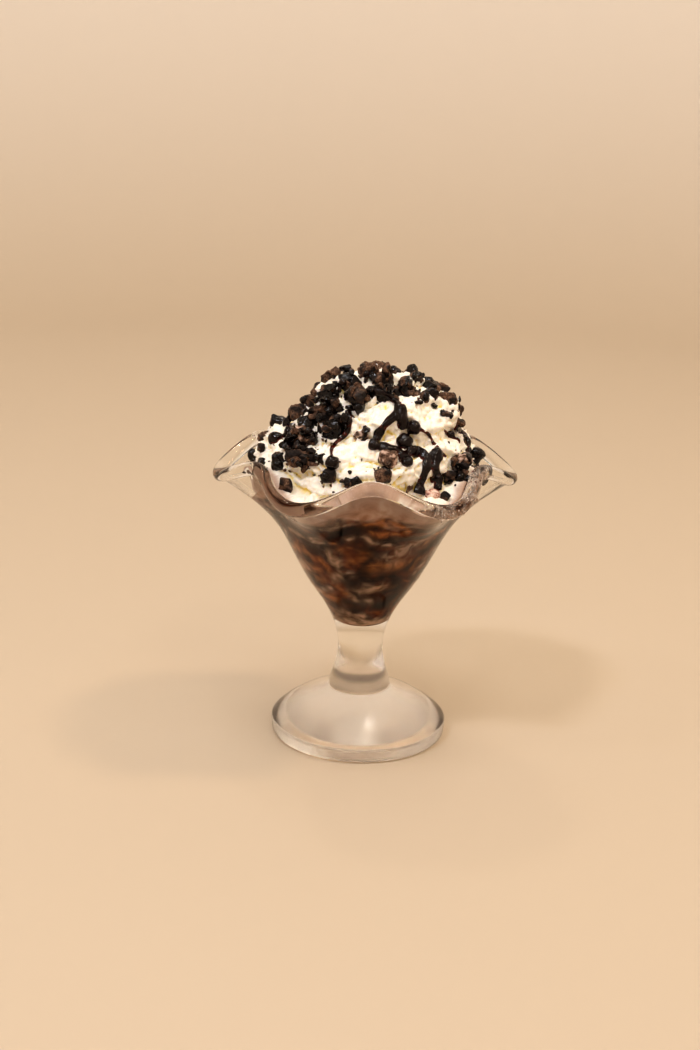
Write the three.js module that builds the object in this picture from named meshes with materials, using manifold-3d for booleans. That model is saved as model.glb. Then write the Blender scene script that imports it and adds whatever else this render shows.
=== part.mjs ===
import * as THREE from 'three';
import { ConvexGeometry } from 'three/addons/geometries/ConvexGeometry.js';
import { mergeVertices } from 'three/addons/utils/BufferGeometryUtils.js';
import Module from 'manifold-3d';

const wasm = await Module();
wasm.setup();

// All sizes are in millimetres. The glass stands on z = 0 and its axis is Z.
const degree = Math.PI / 180;
const gap = 0.35; // air left between neighbouring pieces

// Foot and stem of the pressed glass
const recessDepth = 2.4;
const recessRadius = 27;
const contactInner = 31.5;
const contactOuter = 35.2;
const footRadius = 37.2;
const footEdge = 6.9;
const creaseRadius = 13;
const creaseHeight = 20.6;
const waistRadius = 9.5;
const waistHeight = 38.5;
const coneBase = [15.9, 58.5];
const coneMiddle = [24.2, 71];

// Bowl, whose rim swings between low outward lobes and high inward crests
const lobes = 6;
const lobeTurn = 2.9 * degree;
const wall = 3.2;
const lipRadius = 2.95;
const bowlFloorPoints = [[0, 50.5], [5, 51.2], [9.5, 54.2], [13, 59.2], [21.6, 72.5]];
const flareStart = [32.4, 90];
const lobeCurve = [flareStart, [37.2, 98.8], [49.5, 107.6], [60.05, 113.6]];
const crestCurve = [flareStart, [38.1, 100.6], [44.6, 113.3], [51.3, 122.1]];
const sidesAround = 48;

// Ice cream filling and the whipped cream piped on it
const fillingHeight = 103.5;
const swirlStart = 100 * degree;
const swirlTurns = 1.8;
const stepUp = [0.82, 1.2]; // the turns between which the rope climbs from the lower to the upper one
const lowerTurn = { radius: 30, height: 121, rope: 15, centre: 0 };
const upperTurn = { radius: 17, height: 136, rope: 14.5, centre: 7 };
const flutes = 6;
const fluteDepth = 1.5;
const fluteTwist = 0.75; // turns of the flutes about the rope for each turn of the swirl
const ropeUnevenness = 1.8;
const dollops = [[2, -3, 146, 12.5], [14, 1, 144.5, 12], [-10, 0, 141.5, 13], [5, 8, 144, 12]]; // xyz, radius
const coreProfile = [
  [0, 98], [46, 98], [45.5, 108], [43.5, 114], [39, 122], [33, 132], [26, 141], [15, 149], [0, 152],
];
const ceiling = 190; // well above the whole sundae

// A viewer in front of the glass stands here. A place on the front of the cream is given as
// [across, up]: the x and z where the sight line to it crosses the plane y = 0.
const eye = new THREE.Vector3(-5.8, -679.8, 302.5);

// Broken cookie pieces on the front: [across, up, length, height]
const summitPieces = [
  [0, 156, 7.4, 7.4], [-9, 152, 8.2, 6.2], [-15, 154, 7, 6.2], [6, 153, 7.4, 7], [0, 160, 6.2, 4.1],
  [4, 147, 10.7, 6.4], [-16, 147, 7, 6.2], [-5, 146, 6.2, 6], [15, 151, 5.3, 7.4], [20, 156, 4.8, 4.4],
  [28, 150, 9.1, 4.4], [32, 146, 7.4, 6.2], [36, 142, 4.9, 4.9], [18, 147, 9.6, 3.6], [24, 152, 4.6, 4.2],
  [-8, 158, 4.4, 4.9], [11, 156, 5, 4.4],
];
const leftPieces = [
  [-28, 138, 7.4, 7], [-36, 134, 7.4, 5.3], [-23, 134, 9.6, 7], [-14, 141, 10.3, 4.9], [-13, 131, 8.6, 7],
  [-27, 128, 8.6, 7.4], [-20, 139, 7, 4.4], [-42, 130, 4.6, 4.6], [-45, 119, 6.2, 4.6], [-35, 118, 6.2, 7.4],
  [-26, 119, 12, 6.4], [-15, 112, 5.3, 5.3], [-27, 123.5, 5.6, 4], [-8, 136, 5, 4.2],
];
const rightPieces = [
  [38, 119, 8.6, 7], [37, 113, 8.2, 5.3], [36, 108, 7.4, 4.9], [9, 120, 7.4, 6.2], [7, 113, 6.2, 5.3],
  [-2, 129, 4.9, 4.4],
];
const iceCreamLump = [27, 105, 9.5, 6.2];
const backPieces = 19;

// Chocolate syrup on the front: strands with their width and [across, up] points, and beads of it
const syrupStrands = [
  [3, [[11, 145], [14, 141], [14, 137], [15, 134]]],
  [2.4, [[12, 139], [8, 136], [5, 132], [3.5, 127], [8, 125], [13, 124], [17, 119]]],
  [2.8, [[16, 122], [20, 124.5], [24, 122.5], [25, 118], [23, 112], [22, 106]]],
  [3.2, [[29, 125], [28, 119], [29, 114], [30, 108]]],
  [1.6, [[20, 134], [25, 132], [28, 127], [33, 122]]],
  [3, [[36, 135], [40, 132], [42, 127], [42, 121]]],
  [2.2, [[-8, 140], [-7, 135], [-9, 130], [-14, 125], [-14, 121]]],
  [2, [[-32, 133], [-33, 130], [-37, 127]]],
];
const syrupBeads = [
  [-37, 127, 5], [-14, 118, 5], [3, 126, 5], [20, 134, 6.4], [17, 119, 5], [15, 128, 6], [34, 132, 4.4],
];
const backStrands = [
  [2.6, [[35, 144], [55, 141], [75, 138], [88, 130], [84, 120]]],
  [2.4, [[165, 140], [145, 136], [125, 131], [128, 122], [118, 115]]],
];
const crumbs = 12;
const leastShareLeft = 0.75; // of a piece, once its neighbours' room is cut from it

function seeded(seed) {
  let state = (seed * 7919 + 12345) % 2147483647;
  return () => {
    state = (state * 16807) % 2147483647;
    return state / 2147483647;
  };
}

const mix = THREE.MathUtils.lerp;
const ease = (x, from, to) => THREE.MathUtils.smoothstep(x, from, to);

// Slow unevenness of a soft surface, from -1 to 1
function lump(x, y, z) {
  const broad = Math.sin(x * 0.21 + 1.3) * Math.sin(y * 0.19 + 0.4) * Math.sin(z * 0.23 + 2.1);
  const fine = Math.sin(x * 0.47 + y * 0.31) * Math.cos(y * 0.43 - z * 0.37 + 0.8);
  return 0.6 * broad + 0.4 * fine;
}

// A closed solid from rings of points, given from its bottom to its top.
// The first and last ring shrink to one point each.
function lofted(rings) {
  const around = rings[0].length;
  const last = rings.length - 1;
  const points = [rings[0][0], ...rings.slice(1, last).flat(), rings[last][0]];
  const faces = [];
  const at = (ring, step) => 1 + (ring - 1) * around + (step % around);
  for (let step = 0; step < around; step++) {
    faces.push(0, at(1, step + 1), at(1, step));
    for (let ring = 1; ring < last - 1; ring++) {
      const corners = [at(ring, step), at(ring, step + 1), at(ring + 1, step + 1), at(ring + 1, step)];
      faces.push(corners[0], corners[1], corners[2], corners[0], corners[2], corners[3]);
    }
    faces.push(points.length - 1, at(last - 1, step), at(last - 1, step + 1));
  }
  return meshGeometry(points.flat(), faces);
}

// A round body whose section of [radius, height] points may change with the angle
function turned(sectionAt, around) {
  const sections = [];
  for (let step = 0; step < around; step++) {
    const angle = (step / around) * 2 * Math.PI + lobeTurn;
    const section = sectionAt(angle);
    sections.push(section.map(([r, z]) => [r * Math.cos(angle), r * Math.sin(angle), z]));
  }
  return lofted(sections[0].map((point, ring) => sections.map((section) => section[ring])));
}

function solid(geometry) {
  const bare = geometry.clone();
  bare.deleteAttribute('normal');
  bare.deleteAttribute('uv');
  const merged = mergeVertices(bare, 1e-4);
  return new wasm.Manifold(new wasm.Mesh({
    numProp: 3,
    vertProperties: new Float32Array(merged.attributes.position.array),
    triVerts: new Uint32Array(merged.index.array),
  }));
}

// The outer body alone: hollows that joining has sealed are filled and loose scraps dropped
function largest(body) {
  return body.decompose().reduce((best, one) => (one.volume() > best.volume() ? one : best));
}

function meshGeometry(xyz, faces) {
  const geometry = new THREE.BufferGeometry();
  geometry.setAttribute('position', new THREE.Float32BufferAttribute(xyz, 3));
  geometry.setIndex(Array.from(faces));
  return geometry;
}

function surface(body) {
  const { vertProperties, triVerts } = body.getMesh();
  return meshGeometry(vertProperties, triVerts);
}

// The glass wall, from the start of its flare to the lip
const lobeWeight = (angle) => 0.5 + 0.5 * Math.cos(lobes * (angle - lobeTurn));

function wallAt(t, weight) {
  const blend = lobeCurve.map((point, i) => point.map((value, k) => mix(crestCurve[i][k], value, weight)));
  const curve = new THREE.CubicBezierCurve(...blend.map(([r, z]) => new THREE.Vector2(r, z)));
  const tangent = curve.getTangent(t);
  const half = mix(wall / 2, lipRadius, ease(t, 0.65, 1));
  return { centre: curve.getPoint(t), tangent, inward: new THREE.Vector2(-tangent.y, tangent.x), half };
}

function wallPoint(t, weight, side, extra = 0) {
  const { centre, inward, half } = wallAt(t, weight);
  return centre.addScaledVector(inward, side * (half + extra)).toArray();
}

function wallSide(weight, side, { extra = 0, from = 0, to = 1, steps = 6 } = {}) {
  const stations = Array.from({ length: steps + 1 }, (_, i) => mix(from, to, i / steps));
  return stations.map((t) => wallPoint(t, weight, side, extra));
}

// The rounded floor of the bowl and its lower cone, drawn in from the glass by an inset
function bowlFloor(inset = 0) {
  const points = bowlFloorPoints.map(([r, z]) => new THREE.Vector2(r, z));
  const next = new THREE.Vector2(...wallPoint(0, 0, 1));
  return points.map((point, i) => {
    const along = (points[i + 1] ?? next).clone().sub(points[i - 1] ?? point).normalize();
    const inward = i ? new THREE.Vector2(-along.y, along.x) : new THREE.Vector2(0, 1);
    return point.clone().addScaledVector(inward, inset).toArray();
  });
}

function lip(weight) {
  const { centre, tangent, inward, half } = wallAt(1, weight);
  const points = [];
  for (let angle = 30; angle < 180; angle += 30) {
    const along = Math.sin(angle * degree) * half;
    const across = -Math.cos(angle * degree) * half;
    const point = centre.clone().addScaledVector(tangent, along).addScaledVector(inward, across);
    points.push(point.toArray());
  }
  return points;
}

function sundaeGlass() {
  const dome = new THREE.QuadraticBezierCurve(
    new THREE.Vector2(footRadius - 1.4, footEdge + 1),
    new THREE.Vector2(mix(footRadius, creaseRadius, 0.45), mix(footEdge, creaseHeight, 0.6)),
    new THREE.Vector2(creaseRadius, creaseHeight),
  );
  const stem = new THREE.SplineCurve([
    [creaseRadius, creaseHeight], [12.5, 24], [10.6, 30.5], [waistRadius, waistHeight],
    [11.2, 48.7], coneBase, coneMiddle,
  ].map(([r, z]) => new THREE.Vector2(r, z)));
  const foot = [
    [0, recessDepth], [recessRadius, recessDepth], [contactInner, 0], [contactOuter, 0],
    [footRadius - 0.6, 1.2], [footRadius, 3.4], [footRadius - 0.3, footEdge - 0.6],
  ];
  const body = [
    ...foot,
    ...dome.getPoints(3).map((point) => point.toArray()),
    ...stem.getPoints(10).slice(1).map((point) => point.toArray()),
  ];
  return turned((angle) => {
    const weight = lobeWeight(angle);
    const inside = [...bowlFloor(), ...wallSide(weight, 1)].reverse();
    return [...body, ...wallSide(weight, -1), ...lip(weight), ...inside];
  }, sidesAround);
}

// Height of the ice cream's uneven top
function fillingTop(x, y) {
  const ripple = 1.1 * Math.sin(x * 0.13 + 0.6) * Math.cos(y * 0.15 - 0.4);
  return fillingHeight + 0.035 * x - 0.03 * y + ripple;
}

// Rings across the top of the ice cream, from the wall to the middle
function acrossTop(angle, radius, lift = 0) {
  return [0.66, 0.33, 0].map((share) => {
    const r = radius * share;
    return [r, fillingTop(r * Math.cos(angle), r * Math.sin(angle)) + lift];
  });
}

// How far up the wall, from 0 to 1, the ice cream's top meets it
function fillingEdge(angle, lift = 0) {
  const weight = lobeWeight(angle);
  let low = 0;
  let high = 1;
  for (let i = 0; i < 30; i++) {
    const middle = (low + high) / 2;
    const [r, z] = wallPoint(middle, weight, 1, gap);
    if (z < fillingTop(r * Math.cos(angle), r * Math.sin(angle)) + lift) low = middle;
    else high = middle;
  }
  return low;
}

function iceCream() {
  return turned((angle) => {
    const side = wallSide(lobeWeight(angle), 1, { extra: gap, to: fillingEdge(angle), steps: 4 });
    return [...bowlFloor(gap), ...side, ...acrossTop(angle, side[side.length - 1][0])];
  }, sidesAround);
}

// The free space over the ice cream, clear of the glass: what stands in it is cut to it
function roomAboveFilling() {
  return turned((angle) => {
    const from = fillingEdge(angle, gap);
    const side = wallSide(lobeWeight(angle), 1, { extra: gap, from, steps: 4 });
    const bottom = acrossTop(angle, side[0][0], gap).reverse();
    return [...bottom, ...side, [side[side.length - 1][0], ceiling], [0, ceiling]];
  }, sidesAround);
}

// The path of the piped rope: one wide turn, then a narrower one on top
function swirlAt(turn) {
  const rise = ease(turn, ...stepUp);
  const angle = swirlStart + turn * 2 * Math.PI;
  const value = (name) => mix(lowerTurn[name], upperTurn[name], rise);
  const radius = value('radius');
  const height = value('height') + mix(-1, 1, turn / swirlTurns);
  return {
    centre: new THREE.Vector3(value('centre') + radius * Math.cos(angle), radius * Math.sin(angle), height),
    rope: value('rope'),
    angle,
  };
}

// One stretch of fluted rope with rounded ends
function ropeStretch(from, to) {
  const steps = Math.round((to - from) * 21);
  const around = flutes * 2;
  const rings = [];
  const caps = [0.001, 0.6, 0.88];
  const stations = [];
  caps.forEach((share) => stations.push({ turn: from, share, back: -1 }));
  for (let i = 0; i <= steps; i++) stations.push({ turn: mix(from, to, i / steps), share: 1, back: 0 });
  [...caps].reverse().forEach((share) => stations.push({ turn: to, share, back: 1 }));
  for (const { turn, share, back } of stations) {
    const here = swirlAt(turn);
    const tangent = swirlAt(turn + 0.01).centre.sub(swirlAt(turn - 0.01).centre).normalize();
    const up = new THREE.Vector3(0, 0, 1).addScaledVector(tangent, -tangent.z).normalize();
    const outward = new THREE.Vector3().crossVectors(tangent, up);
    const beyond = back * here.rope * 0.5 * Math.sqrt(1 - share * share);
    const centre = here.centre.addScaledVector(tangent, beyond);
    const ring = [];
    for (let k = 0; k < around; k++) {
      const angle = (k / around + turn * fluteTwist) * 2 * Math.PI;
      const direction = outward.clone().multiplyScalar(Math.cos(angle));
      direction.addScaledVector(up, Math.sin(angle));
      const bare = centre.clone().addScaledVector(direction, here.rope * share);
      const reach = (k % 2 ? -fluteDepth : 0) + ropeUnevenness * lump(bare.x, bare.y, bare.z);
      ring.push(bare.addScaledVector(direction, reach * share).toArray());
    }
    rings.push(ring);
  }
  rings[0] = rings[0].map(() => swirlCap(from, -1));
  rings[rings.length - 1] = rings[0].map(() => swirlCap(to, 1));
  return lofted(rings.reverse());
}

// The middle of a rope's rounded end
function swirlCap(turn, side) {
  const here = swirlAt(turn);
  const tangent = swirlAt(turn + 0.01).centre.sub(swirlAt(turn - 0.01).centre).normalize();
  return here.centre.addScaledVector(tangent, side * here.rope * 0.52).toArray();
}

function dollop(x, y, z, radius) {
  const geometry = new THREE.IcosahedronGeometry(radius, 2);
  const position = geometry.attributes.position;
  const point = new THREE.Vector3();
  for (let i = 0; i < position.count; i++) {
    point.fromBufferAttribute(position, i);
    const swell = 1 + 0.16 * lump(point.x * 1.3 + x, point.y * 1.3 + y, point.z * 1.3 + z);
    point.multiplyScalar(swell).add(new THREE.Vector3(x, y, z));
    position.setXYZ(i, ...point.toArray());
  }
  return geometry;
}

function bareCream(room) {
  let body = solid(turned(() => coreProfile, 24));
  const overlap = 0.03;
  const stretches = 4;
  for (let i = 0; i < stretches; i++) {
    const from = (i / stretches) * swirlTurns - (i ? overlap : 0);
    body = body.add(solid(ropeStretch(from, ((i + 1) / stretches) * swirlTurns)));
  }
  for (const blob of dollops) body = body.add(solid(dollop(...blob)));
  return largest(body.intersect(room));
}

const filling = solid(iceCream());
const room = solid(roomAboveFilling());
const plainCream = bareCream(room);
const creamSurface = new THREE.Mesh(surface(plainCream));
const caster = new THREE.Raycaster();

function firstHit(from, towards) {
  caster.set(from, towards);
  const hit = caster.intersectObject(creamSurface)[0];
  return hit && { point: hit.point.clone(), normal: hit.face.normal.clone() };
}

// The place on the cream seen at [across, up], or the ridge under it where only air lies behind
function seenAt(across, up) {
  const towards = new THREE.Vector3(across, 0, up).sub(eye).normalize();
  const seen = firstHit(eye, towards);
  if (seen) return seen;
  let best = null;
  for (let y = -30; y <= 30; y += 2) {
    const line = eye.clone().addScaledVector(towards, (y - eye.y) / towards.y);
    const under = firstHit(new THREE.Vector3(line.x, line.y, ceiling), new THREE.Vector3(0, 0, -1));
    const drop = under ? line.z - under.point.z : Infinity;
    if (under && (!best || drop < best.drop)) best = { ...under, drop };
  }
  return best;
}

// The place on the cream met on the way in to its middle, from an angle about the axis
function metFrom(angle, up, rise = 0) {
  const middle = new THREE.Vector3(upperTurn.centre / 2, 0, up);
  const outward = new THREE.Vector3(
    Math.cos(angle) * Math.cos(rise), Math.sin(angle) * Math.cos(rise), Math.sin(rise),
  );
  return firstHit(middle.clone().addScaledVector(outward, 90), outward.negate());
}

// Corner points of an uneven broken lump, in a box of the given size about the origin
function brokenCorners(size, random, count = 12) {
  const golden = Math.PI * (3 - Math.sqrt(5));
  return Array.from({ length: count }, (_, i) => {
    const z = 1 - (2 * i + 1) / count;
    const turn = i * golden + random() * 0.9;
    const flat = Math.sqrt(1 - z * z);
    const reach = mix(0.95, 1.25, random());
    const square = (value) => Math.sign(value) * Math.abs(value) ** 0.75 * reach;
    const corner = [flat * Math.cos(turn), flat * Math.sin(turn), z].map(square);
    return new THREE.Vector3(...corner).multiply(size).multiplyScalar(0.5);
  });
}

// A lump and the same lump with air round it, both turned and set in place
function brokenLump(size, turn, place, random, count) {
  const corners = brokenCorners(size, random, count);
  const margin = new THREE.Vector3(...size.toArray().map((value) => 1 + (2 * gap) / value));
  const set = (point) => point.applyEuler(turn).add(place);
  return {
    body: solid(new ConvexGeometry(corners.map((point) => set(point.clone())))),
    space: solid(new ConvexGeometry(corners.map((point) => set(point.clone().multiply(margin))))),
  };
}

// Sets a piece on the cream, and moves it out a little at a time until others leave it room
function seatPiece(seat, [length, height], turn, random, others) {
  const depth = mix(0.3, 0.425, random()) * (length + height);
  const size = new THREE.Vector3(length, depth, height);
  const outward = seat.normal.clone().add(new THREE.Vector3(0, -0.2, 0.5)).normalize();
  let piece = null;
  for (let push = 0; push < 5; push++) {
    const place = seat.point.clone().addScaledVector(outward, (0.15 + 0.22 * push) * height);
    const seed = seeded(Math.round(length * 100 + height * 10 + place.x));
    piece = brokenLump(size, turn, place, seed);
    const whole = piece.body.volume();
    const inRoom = piece.body.intersect(room);
    piece.body = largest(others.reduce((body, other) => body.subtract(other.space), inRoom));
    if (piece.body.volume() > leastShareLeft * whole) break;
  }
  return piece;
}

function piecesOnFront(list, others, random) {
  for (const [across, up, ...size] of list) {
    const tilt = [0.3, 0.35, 0.5].map((most) => mix(-most, most, random()));
    others.push(seatPiece(seenAt(across, up), size, new THREE.Euler(...tilt), random, others));
  }
}

// The back carries pieces like the front, spread by chance with some room between them
function piecesOnBack(count, others, random) {
  const places = [];
  while (places.length < count) {
    const angle = mix(-5, 185, random()) * degree;
    const seat = metFrom(angle, mix(112, 140, random()), mix(0, 60, random()) * degree);
    const near = seat && places.some((place) => place.distanceTo(seat.point) < 9);
    if (!seat || near || seat.point.y < 6) continue;
    places.push(seat.point);
    const length = mix(5.5, 11.5, random() ** 1.4);
    const size = [length, length * mix(0.5, 0.85, random())];
    const turn = new THREE.Euler(random() * 0.8, random() * 0.8, random() * 6);
    others.push(seatPiece(seat, size, turn, random, others));
  }
}

// A strand of syrup that follows the cream through the given seats
function strand(width, seats) {
  const lying = seats.map(({ point, normal }) => point.clone().addScaledVector(normal, 0.15 * width));
  const smooth = lying.map((point, i) => {
    const before = lying[Math.max(i - 1, 0)];
    const after = lying[Math.min(i + 1, lying.length - 1)];
    return point.clone().multiplyScalar(2).add(before).add(after).multiplyScalar(0.25);
  });
  const section = new THREE.Shape();
  for (let side = 0; side < 4; side++) {
    const angle = (side / 4) * 2 * Math.PI;
    section.lineTo(0.5 * width * Math.cos(angle), 0.5 * width * Math.sin(angle));
  }
  section.currentPoint.set(0, 0);
  const extrudePath = new THREE.CatmullRomCurve3(smooth);
  return new THREE.ExtrudeGeometry(section, { steps: smooth.length, extrudePath, bevelEnabled: false });
}

// Seats every few millimetres along a run of points, by a rule that finds each seat
function seatsAlong(points, find, step) {
  const curve = new THREE.CatmullRomCurve3(points.map(([a, b]) => new THREE.Vector3(a, 0, b)));
  const count = Math.max(3, Math.round(curve.getLength() / step));
  return curve.getSpacedPoints(count).map((point) => find(point.x, point.z)).filter(Boolean);
}

function withSyrupAndCrumbs(body, random) {
  let dressed = body;
  for (const [width, points] of syrupStrands) {
    dressed = dressed.add(solid(strand(width, seatsAlong(points, seenAt, 3.4))));
  }
  const fromBehind = (angle, up) => metFrom(angle * degree, up);
  for (const [width, points] of backStrands) {
    dressed = dressed.add(solid(strand(width, seatsAlong(points, fromBehind, 7))));
  }
  for (const [across, up, size] of syrupBeads) {
    const { point, normal } = seenAt(across, up);
    const bead = new THREE.SphereGeometry(size / 2, 6, 4);
    dressed = dressed.add(solid(bead.translate(...point.addScaledVector(normal, 0.2 * size).toArray())));
  }
  for (let i = 0; i < crumbs; i++) {
    const angle = random() * 2 * Math.PI;
    const seat = metFrom(angle, mix(108, 145, random()), mix(-5, 55, random()) * degree);
    if (!seat) continue;
    const size = new THREE.Vector3(1, 1, 1).multiplyScalar(mix(1.6, 3.2, random() ** 1.5));
    const place = seat.point.addScaledVector(seat.normal, 0.12 * size.x);
    dressed = dressed.add(brokenLump(size, new THREE.Euler(0, 0, random() * 3), place, random, 6).body);
  }
  return dressed.intersect(room);
}

const random = seeded(11);
const pieces = [];
piecesOnFront(summitPieces, pieces, random);
piecesOnFront(leftPieces, pieces, random);
piecesOnFront(rightPieces, pieces, random);
piecesOnFront([iceCreamLump], pieces, random);
const lumpPiece = pieces[pieces.length - 1];
piecesOnBack(backPieces, pieces, random);
const dressedCream = withSyrupAndCrumbs(plainCream, random);
const cream = pieces.reduce((body, piece) => body.subtract(piece.space), dressedCream);

function part(name, geometry, colour, roughness, options = {}) {
  const material = new THREE.MeshStandardMaterial({ color: colour, roughness, metalness: 0, ...options });
  const mesh = new THREE.Mesh(geometry, material);
  mesh.name = name;
  return mesh;
}

const sundae = new THREE.Group();
sundae.add(part('sundae_glass', sundaeGlass(), 0xdfe3e0, 0.05, { transparent: true, opacity: 0.35 }));
sundae.add(part('marbled_ice_cream', surface(filling), 0x4a2a1c, 0.5));
sundae.add(part('whipped_cream', surface(largest(cream.simplify(0.1))), 0xf8f1e2, 0.6));
let number = 0;
for (const piece of pieces) {
  if (piece === lumpPiece) {
    sundae.add(part('ice_cream_lump', surface(piece.body), 0xc9a99c, 0.6));
  } else {
    number += 1;
    const name = `cookie_piece_${String(number).padStart(2, '0')}`;
    sundae.add(part(name, surface(piece.body), number % 3 ? 0x1c1411 : 0x34261f, 0.7));
  }
}

export default sundae;
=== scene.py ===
import math
import random

import bmesh
import bpy
import numpy as np
from mathutils import Matrix, Vector, noise
from mathutils.bvhtree import BVHTree


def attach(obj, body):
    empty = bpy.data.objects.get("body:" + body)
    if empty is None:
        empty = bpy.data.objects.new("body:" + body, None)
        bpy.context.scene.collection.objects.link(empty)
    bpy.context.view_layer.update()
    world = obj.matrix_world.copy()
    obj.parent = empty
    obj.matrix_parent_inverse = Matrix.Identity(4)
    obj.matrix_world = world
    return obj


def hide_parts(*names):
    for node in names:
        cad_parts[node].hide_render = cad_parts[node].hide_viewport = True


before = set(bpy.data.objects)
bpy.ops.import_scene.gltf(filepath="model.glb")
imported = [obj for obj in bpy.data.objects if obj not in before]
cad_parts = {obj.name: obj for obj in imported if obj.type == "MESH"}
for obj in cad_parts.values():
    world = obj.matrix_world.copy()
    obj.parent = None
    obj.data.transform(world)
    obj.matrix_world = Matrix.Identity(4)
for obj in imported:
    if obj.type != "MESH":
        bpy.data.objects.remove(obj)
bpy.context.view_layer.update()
mm = 0.001  # shapes are worked out in millimetres and built in metres


def report(stage):
    print("sundae:", stage)


def hexColour(code):  # an sRGB hex colour as the linear one that sockets take
    channels = [int(code[i:i + 2], 16) / 255 for i in (0, 2, 4)]
    return [c / 12.92 if c <= 0.04045 else ((c + 0.055) / 1.055) ** 2.4 for c in channels] + [1.0]


# A setting is a property, a socket's value or a ramp's stops
def addNode(tree, kind, settings=None, links=None):
    node = tree.nodes.new(kind)
    for key, value in (settings or {}).items():
        if key == "stops":
            ramp = node.color_ramp
            while len(ramp.elements) < len(value):
                ramp.elements.new(0.5)
            for element, (place, colour) in zip(ramp.elements, value):
                element.position = place
                element.color = hexColour(colour)
        elif isinstance(key, str) and hasattr(node, key):
            setattr(node, key, value)
        else:
            socket = node.inputs[key]
            socket.default_value = hexColour(value) if socket.type == "RGBA" else value
    for key, source in (links or {}).items():  # a node stands for the first of its outputs in use
        if isinstance(source, bpy.types.Node):
            source = next(output for output in source.outputs if output.enabled)
        tree.links.new(source, node.inputs[key])
    return node


def newMaterial(name, surface):  # surface adds its nodes to the tree and returns the shader
    material = bpy.data.materials.new(name)
    material.use_nodes = True
    tree = material.node_tree
    tree.nodes.clear()
    place = addNode(tree, "ShaderNodeTexCoord").outputs["Object"]
    addNode(tree, "ShaderNodeOutputMaterial", {}, {"Surface": surface(tree, place)})
    return material


def smoothStep(x, low, high):
    t = np.clip((np.asarray(x, float) - low) / (high - low), 0, 1)
    return t * t * (3 - 2 * t)


def unit(vectors):  # the same directions with length 1
    return vectors / np.linalg.norm(vectors, axis=-1, keepdims=True)


def ringAngles(around):
    return np.arange(around) / around * 2 * math.pi


def azimuth(points):
    return np.arctan2(points[:, 1], points[:, 0])


def eased(values):  # each row moved halfway to the mean of its neighbours
    values = values.copy()
    values[1:-1] = (values[:-2] + 2 * values[1:-1] + values[2:]) / 4
    return values


def meshObject(name, points, faces, material):  # points are in millimetres
    mesh = bpy.data.meshes.new(name)
    mesh.from_pydata([tuple(p) for p in np.asarray(points, float) * mm], [], [tuple(f) for f in faces])
    mesh.update()
    piece = bpy.data.objects.new(name, mesh)
    bpy.context.scene.collection.objects.link(piece)
    mesh.materials.append(material)
    mesh.polygons.foreach_set("use_smooth", [True] * len(mesh.polygons))
    return piece


def meshArrays(mesh):  # a mesh's points in millimetres and its faces
    points = np.empty(len(mesh.vertices) * 3)
    mesh.vertices.foreach_get("co", points)
    return points.reshape(-1, 3) / mm, [tuple(p.vertices) for p in mesh.polygons]


def setAttributes(piece, attributes):
    for name, values in attributes.items():
        attribute = piece.data.attributes.new(name, "FLOAT", "POINT")
        attribute.data.foreach_set("value", np.asarray(values, np.float32))


def finishPiece(piece, slot, *nodes):
    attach(piece, "root")
    if nodes:
        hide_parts(*nodes)


def joined(parts):  # the points and faces of several parts as one
    points, faces, base = [], [], 0
    for partPoints, partFaces in parts:
        points.append(partPoints)
        faces += [tuple(base + i for i in face) for face in partFaces]
        base += len(partPoints)
    return np.concatenate(points), faces


def skinTree(skins):
    points, faces = joined(skins)
    return BVHTree.FromPolygons([Vector(p) for p in points], faces)


def modifiedMesh(piece):  # what the piece's modifiers make of it, as a plain mesh
    return bpy.data.meshes.new_from_object(piece.evaluated_get(bpy.context.evaluated_depsgraph_get()))


def remeshed(parts, voxel):  # closed parts fused to one skin of even faces
    rough = meshObject("rough", *joined(parts), None)
    modifier = rough.modifiers.new("fuse", "REMESH")
    modifier.mode = "VOXEL"
    modifier.voxel_size = voxel * mm
    fused = modifiedMesh(rough)
    result = meshArrays(fused)
    bpy.data.objects.remove(rough)
    bpy.data.meshes.remove(fused)
    return result


def neighbourMean(values, faces, rounds):  # values spread to their neighbours along the faces' edges
    edges = np.array([(a, b) for face in faces for a, b in zip(face, face[1:] + face[:1])])
    count = np.bincount(edges[:, 0], minlength=len(values)).astype(float)[:, None]
    values = np.asarray(values, float).reshape(len(values), -1)
    for _ in range(rounds):
        total = np.zeros_like(values)
        for k in range(values.shape[1]):
            total[:, k] = np.bincount(edges[:, 0], values[edges[:, 1], k], len(values))
        values = 0.5 * values + 0.5 * total / count
    return values


def pointNormals(points, faces):
    quads = np.array([face if len(face) == 4 else face + face[-1:] for face in faces])
    across = np.cross(points[quads[:, 2]] - points[quads[:, 0]], points[quads[:, 3]] - points[quads[:, 1]])
    normals = np.zeros_like(points)
    for corner in range(4):
        for k in range(3):
            normals[:, k] += np.bincount(quads[:, corner], across[:, k], len(points))
    return normals / np.maximum(np.linalg.norm(normals, axis=1, keepdims=True), 1e-9)


# Smooth chance values, about -1 to 1, with swells of that size
def noiseAt(points, size, seed=0.0, octaves=1):
    shift = Vector((seed * 7.3, seed * 3.1, seed * 5.7))
    if octaves == 1:
        return np.array([noise.noise(Vector(p) / size + shift) for p in points])
    return np.array([noise.fractal(Vector(p) / size + shift, 1.0, 2.0, octaves) for p in points])


def splineThrough(points, steps):  # a smooth curve through points, with so many steps a stretch
    p = np.asarray(points, float)
    p = np.concatenate([[2 * p[0] - p[1]], p, [2 * p[-1] - p[-2]]])
    t = np.linspace(0, 1, steps, endpoint=False)[:, None]
    curve = []
    for a, b, c, d in zip(p, p[1:], p[2:], p[3:]):
        curve.append(0.5 * (2 * b + (c - a) * t + (2 * a - 5 * b + 4 * c - d) * t ** 2
                            + (3 * b - a - 3 * c + d) * t ** 3))
    return np.concatenate(curve + [p[-2:-1]])


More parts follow.
